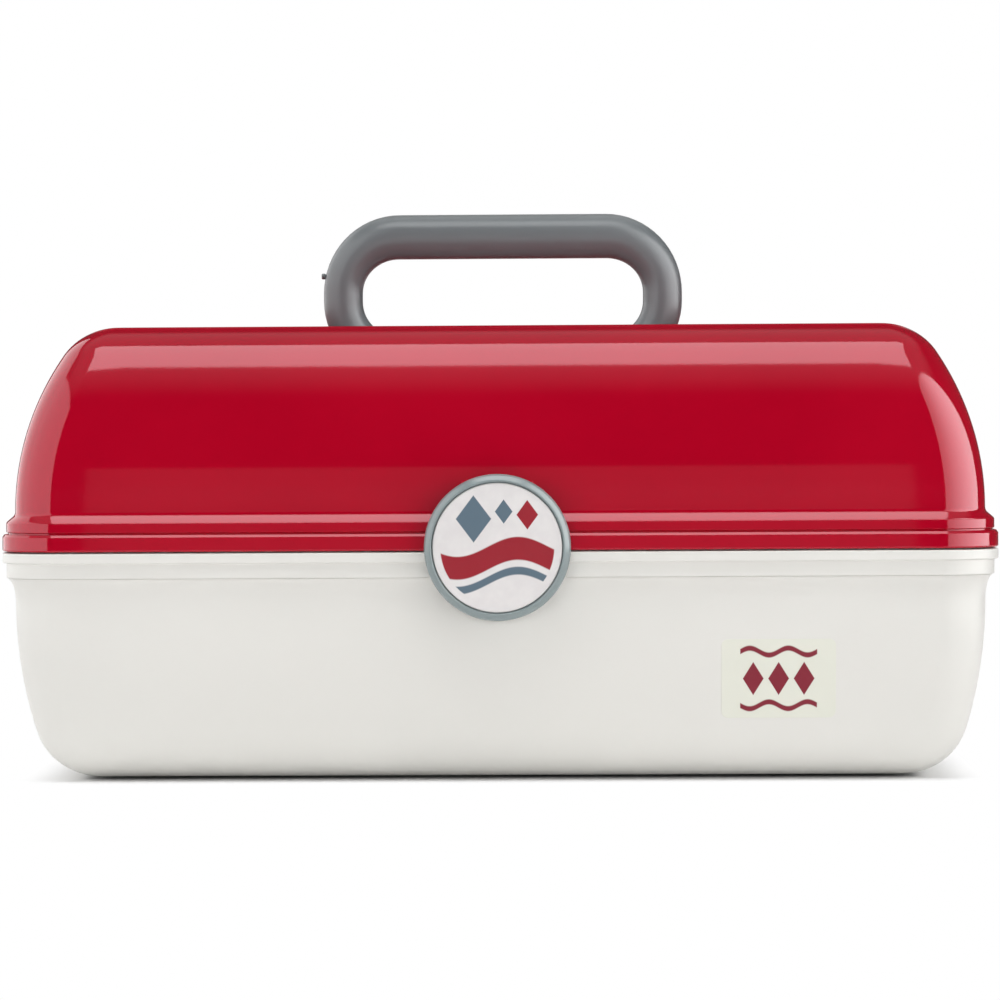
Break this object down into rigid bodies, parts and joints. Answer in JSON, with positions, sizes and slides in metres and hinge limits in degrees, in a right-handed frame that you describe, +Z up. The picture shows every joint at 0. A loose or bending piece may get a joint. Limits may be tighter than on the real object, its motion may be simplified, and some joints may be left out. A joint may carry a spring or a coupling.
{
  "type": "makeup storage case",
  "caption": "Hinged storage case with a domed lid, a fold-down carry handle, a round front latch, a mirror in the lid and a compartment tray that lifts as the lid opens.",
  "frame": {"origin": "on the supporting surface under the middle of the case, midway between the latch face and the hinge knuckles", "axes": "+Z up, +X along the length to the viewer's right when facing the latch, +Y from the latch to the hinges"},
  "size_m": [0.331, 0.2116, 0.1923],
  "materials": {
    "lid_plastic": "glossy moulded crimson polypropylene",
    "lid_plastic_inner": "satin crimson plastic",
    "tub_plastic": "satin white moulded plastic",
    "tray_plastic": "satin pale grey moulded plastic",
    "handle_plastic": "fine-textured slate grey plastic",
    "latch_plastic": "satin grey-green plastic",
    "disc_plastic": "glossy off-white disc with a printed pattern of plain shapes",
    "linkage_plastic": "satin white plastic",
    "pin_plastic": "grey plastic",
    "label_film": "clear cream film",
    "steel": "zinc-plated steel",
    "mirror": "silvered glass"
  },
  "bodies": {
    "tub_body": {"tub": "tub_plastic", "front_label": "label_film", "hinge_pin_left": "steel", "hinge_pin_right": "steel", "arm_pivot_pin_left": "pin_plastic", "arm_pivot_pin_right": "pin_plastic"},
    "lid_body": {"lid": "lid_plastic", "handle_mount": "handle_plastic", "mount_screws": "steel", "latch_pin": "steel", "mirror_pin_left": "steel", "mirror_pin_right": "steel", "tray_bracket_left": "linkage_plastic", "tray_bracket_right": "linkage_plastic", "bracket_screws": "steel", "tray_bracket_pin_left": "pin_plastic", "tray_bracket_pin_right": "pin_plastic"},
    "handle_body": {"handle": "handle_plastic"},
    "latch": {"latch_body": "latch_plastic", "latch_disc": "disc_plastic"},
    "mirror": {"mirror_frame": "lid_plastic_inner", "mirror_glass": "mirror"},
    "tray_body": {"tray": "tray_plastic", "tray_arm_pin_left": "pin_plastic", "tray_arm_pin_right": "pin_plastic"},
    "arm_left": {"tray_arm_left": "linkage_plastic"},
    "arm_right": {"tray_arm_right": "linkage_plastic"}
  },
  "joints": [
    {"name": "lid_hinge", "type": "hinge", "parent": "tub_body", "child": "lid_body", "pos_m": [0, 0.1018, 0.077], "axis": [-1, 0, 0], "range_deg": [0, 100]},
    {"name": "tray_pivot", "type": "hinge", "parent": "lid_body", "child": "tray_body", "pos_m": [0, 0.05, 0.068], "axis": [-1, 0, 0], "range_deg": [-100, 0]},
    {"name": "arm_pivot_left", "type": "hinge", "parent": "tub_body", "child": "arm_left", "pos_m": [0, 0.0518, 0.063], "axis": [-1, 0, 0], "range_deg": [0, 100]},
    {"name": "arm_pivot_right", "type": "hinge", "parent": "tub_body", "child": "arm_right", "pos_m": [0, 0.0518, 0.063], "axis": [-1, 0, 0], "range_deg": [0, 100]},
    {"name": "handle_fold", "type": "hinge", "parent": "lid_body", "child": "handle_body", "pos_m": [0, 0, 0.1433], "axis": [-1, 0, 0], "range_deg": [0, 90]},
    {"name": "latch_lift", "type": "hinge", "parent": "lid_body", "child": "latch", "pos_m": [0, -0.0959, 0.0979], "axis": [-1, 0, 0], "range_deg": [0, 55]},
    {"name": "mirror_tilt", "type": "hinge", "parent": "lid_body", "child": "mirror", "pos_m": [0, -0.058, 0.1265], "axis": [-1, 0, 0], "range_deg": [0, 25]}
  ],
  "couplings": [
    {"joint": "tray_pivot", "follows": "lid_hinge", "ratio": -1},
    {"joint": "arm_pivot_left", "follows": "lid_hinge", "ratio": 1},
    {"joint": "arm_pivot_right", "follows": "lid_hinge", "ratio": 1}
  ]
}
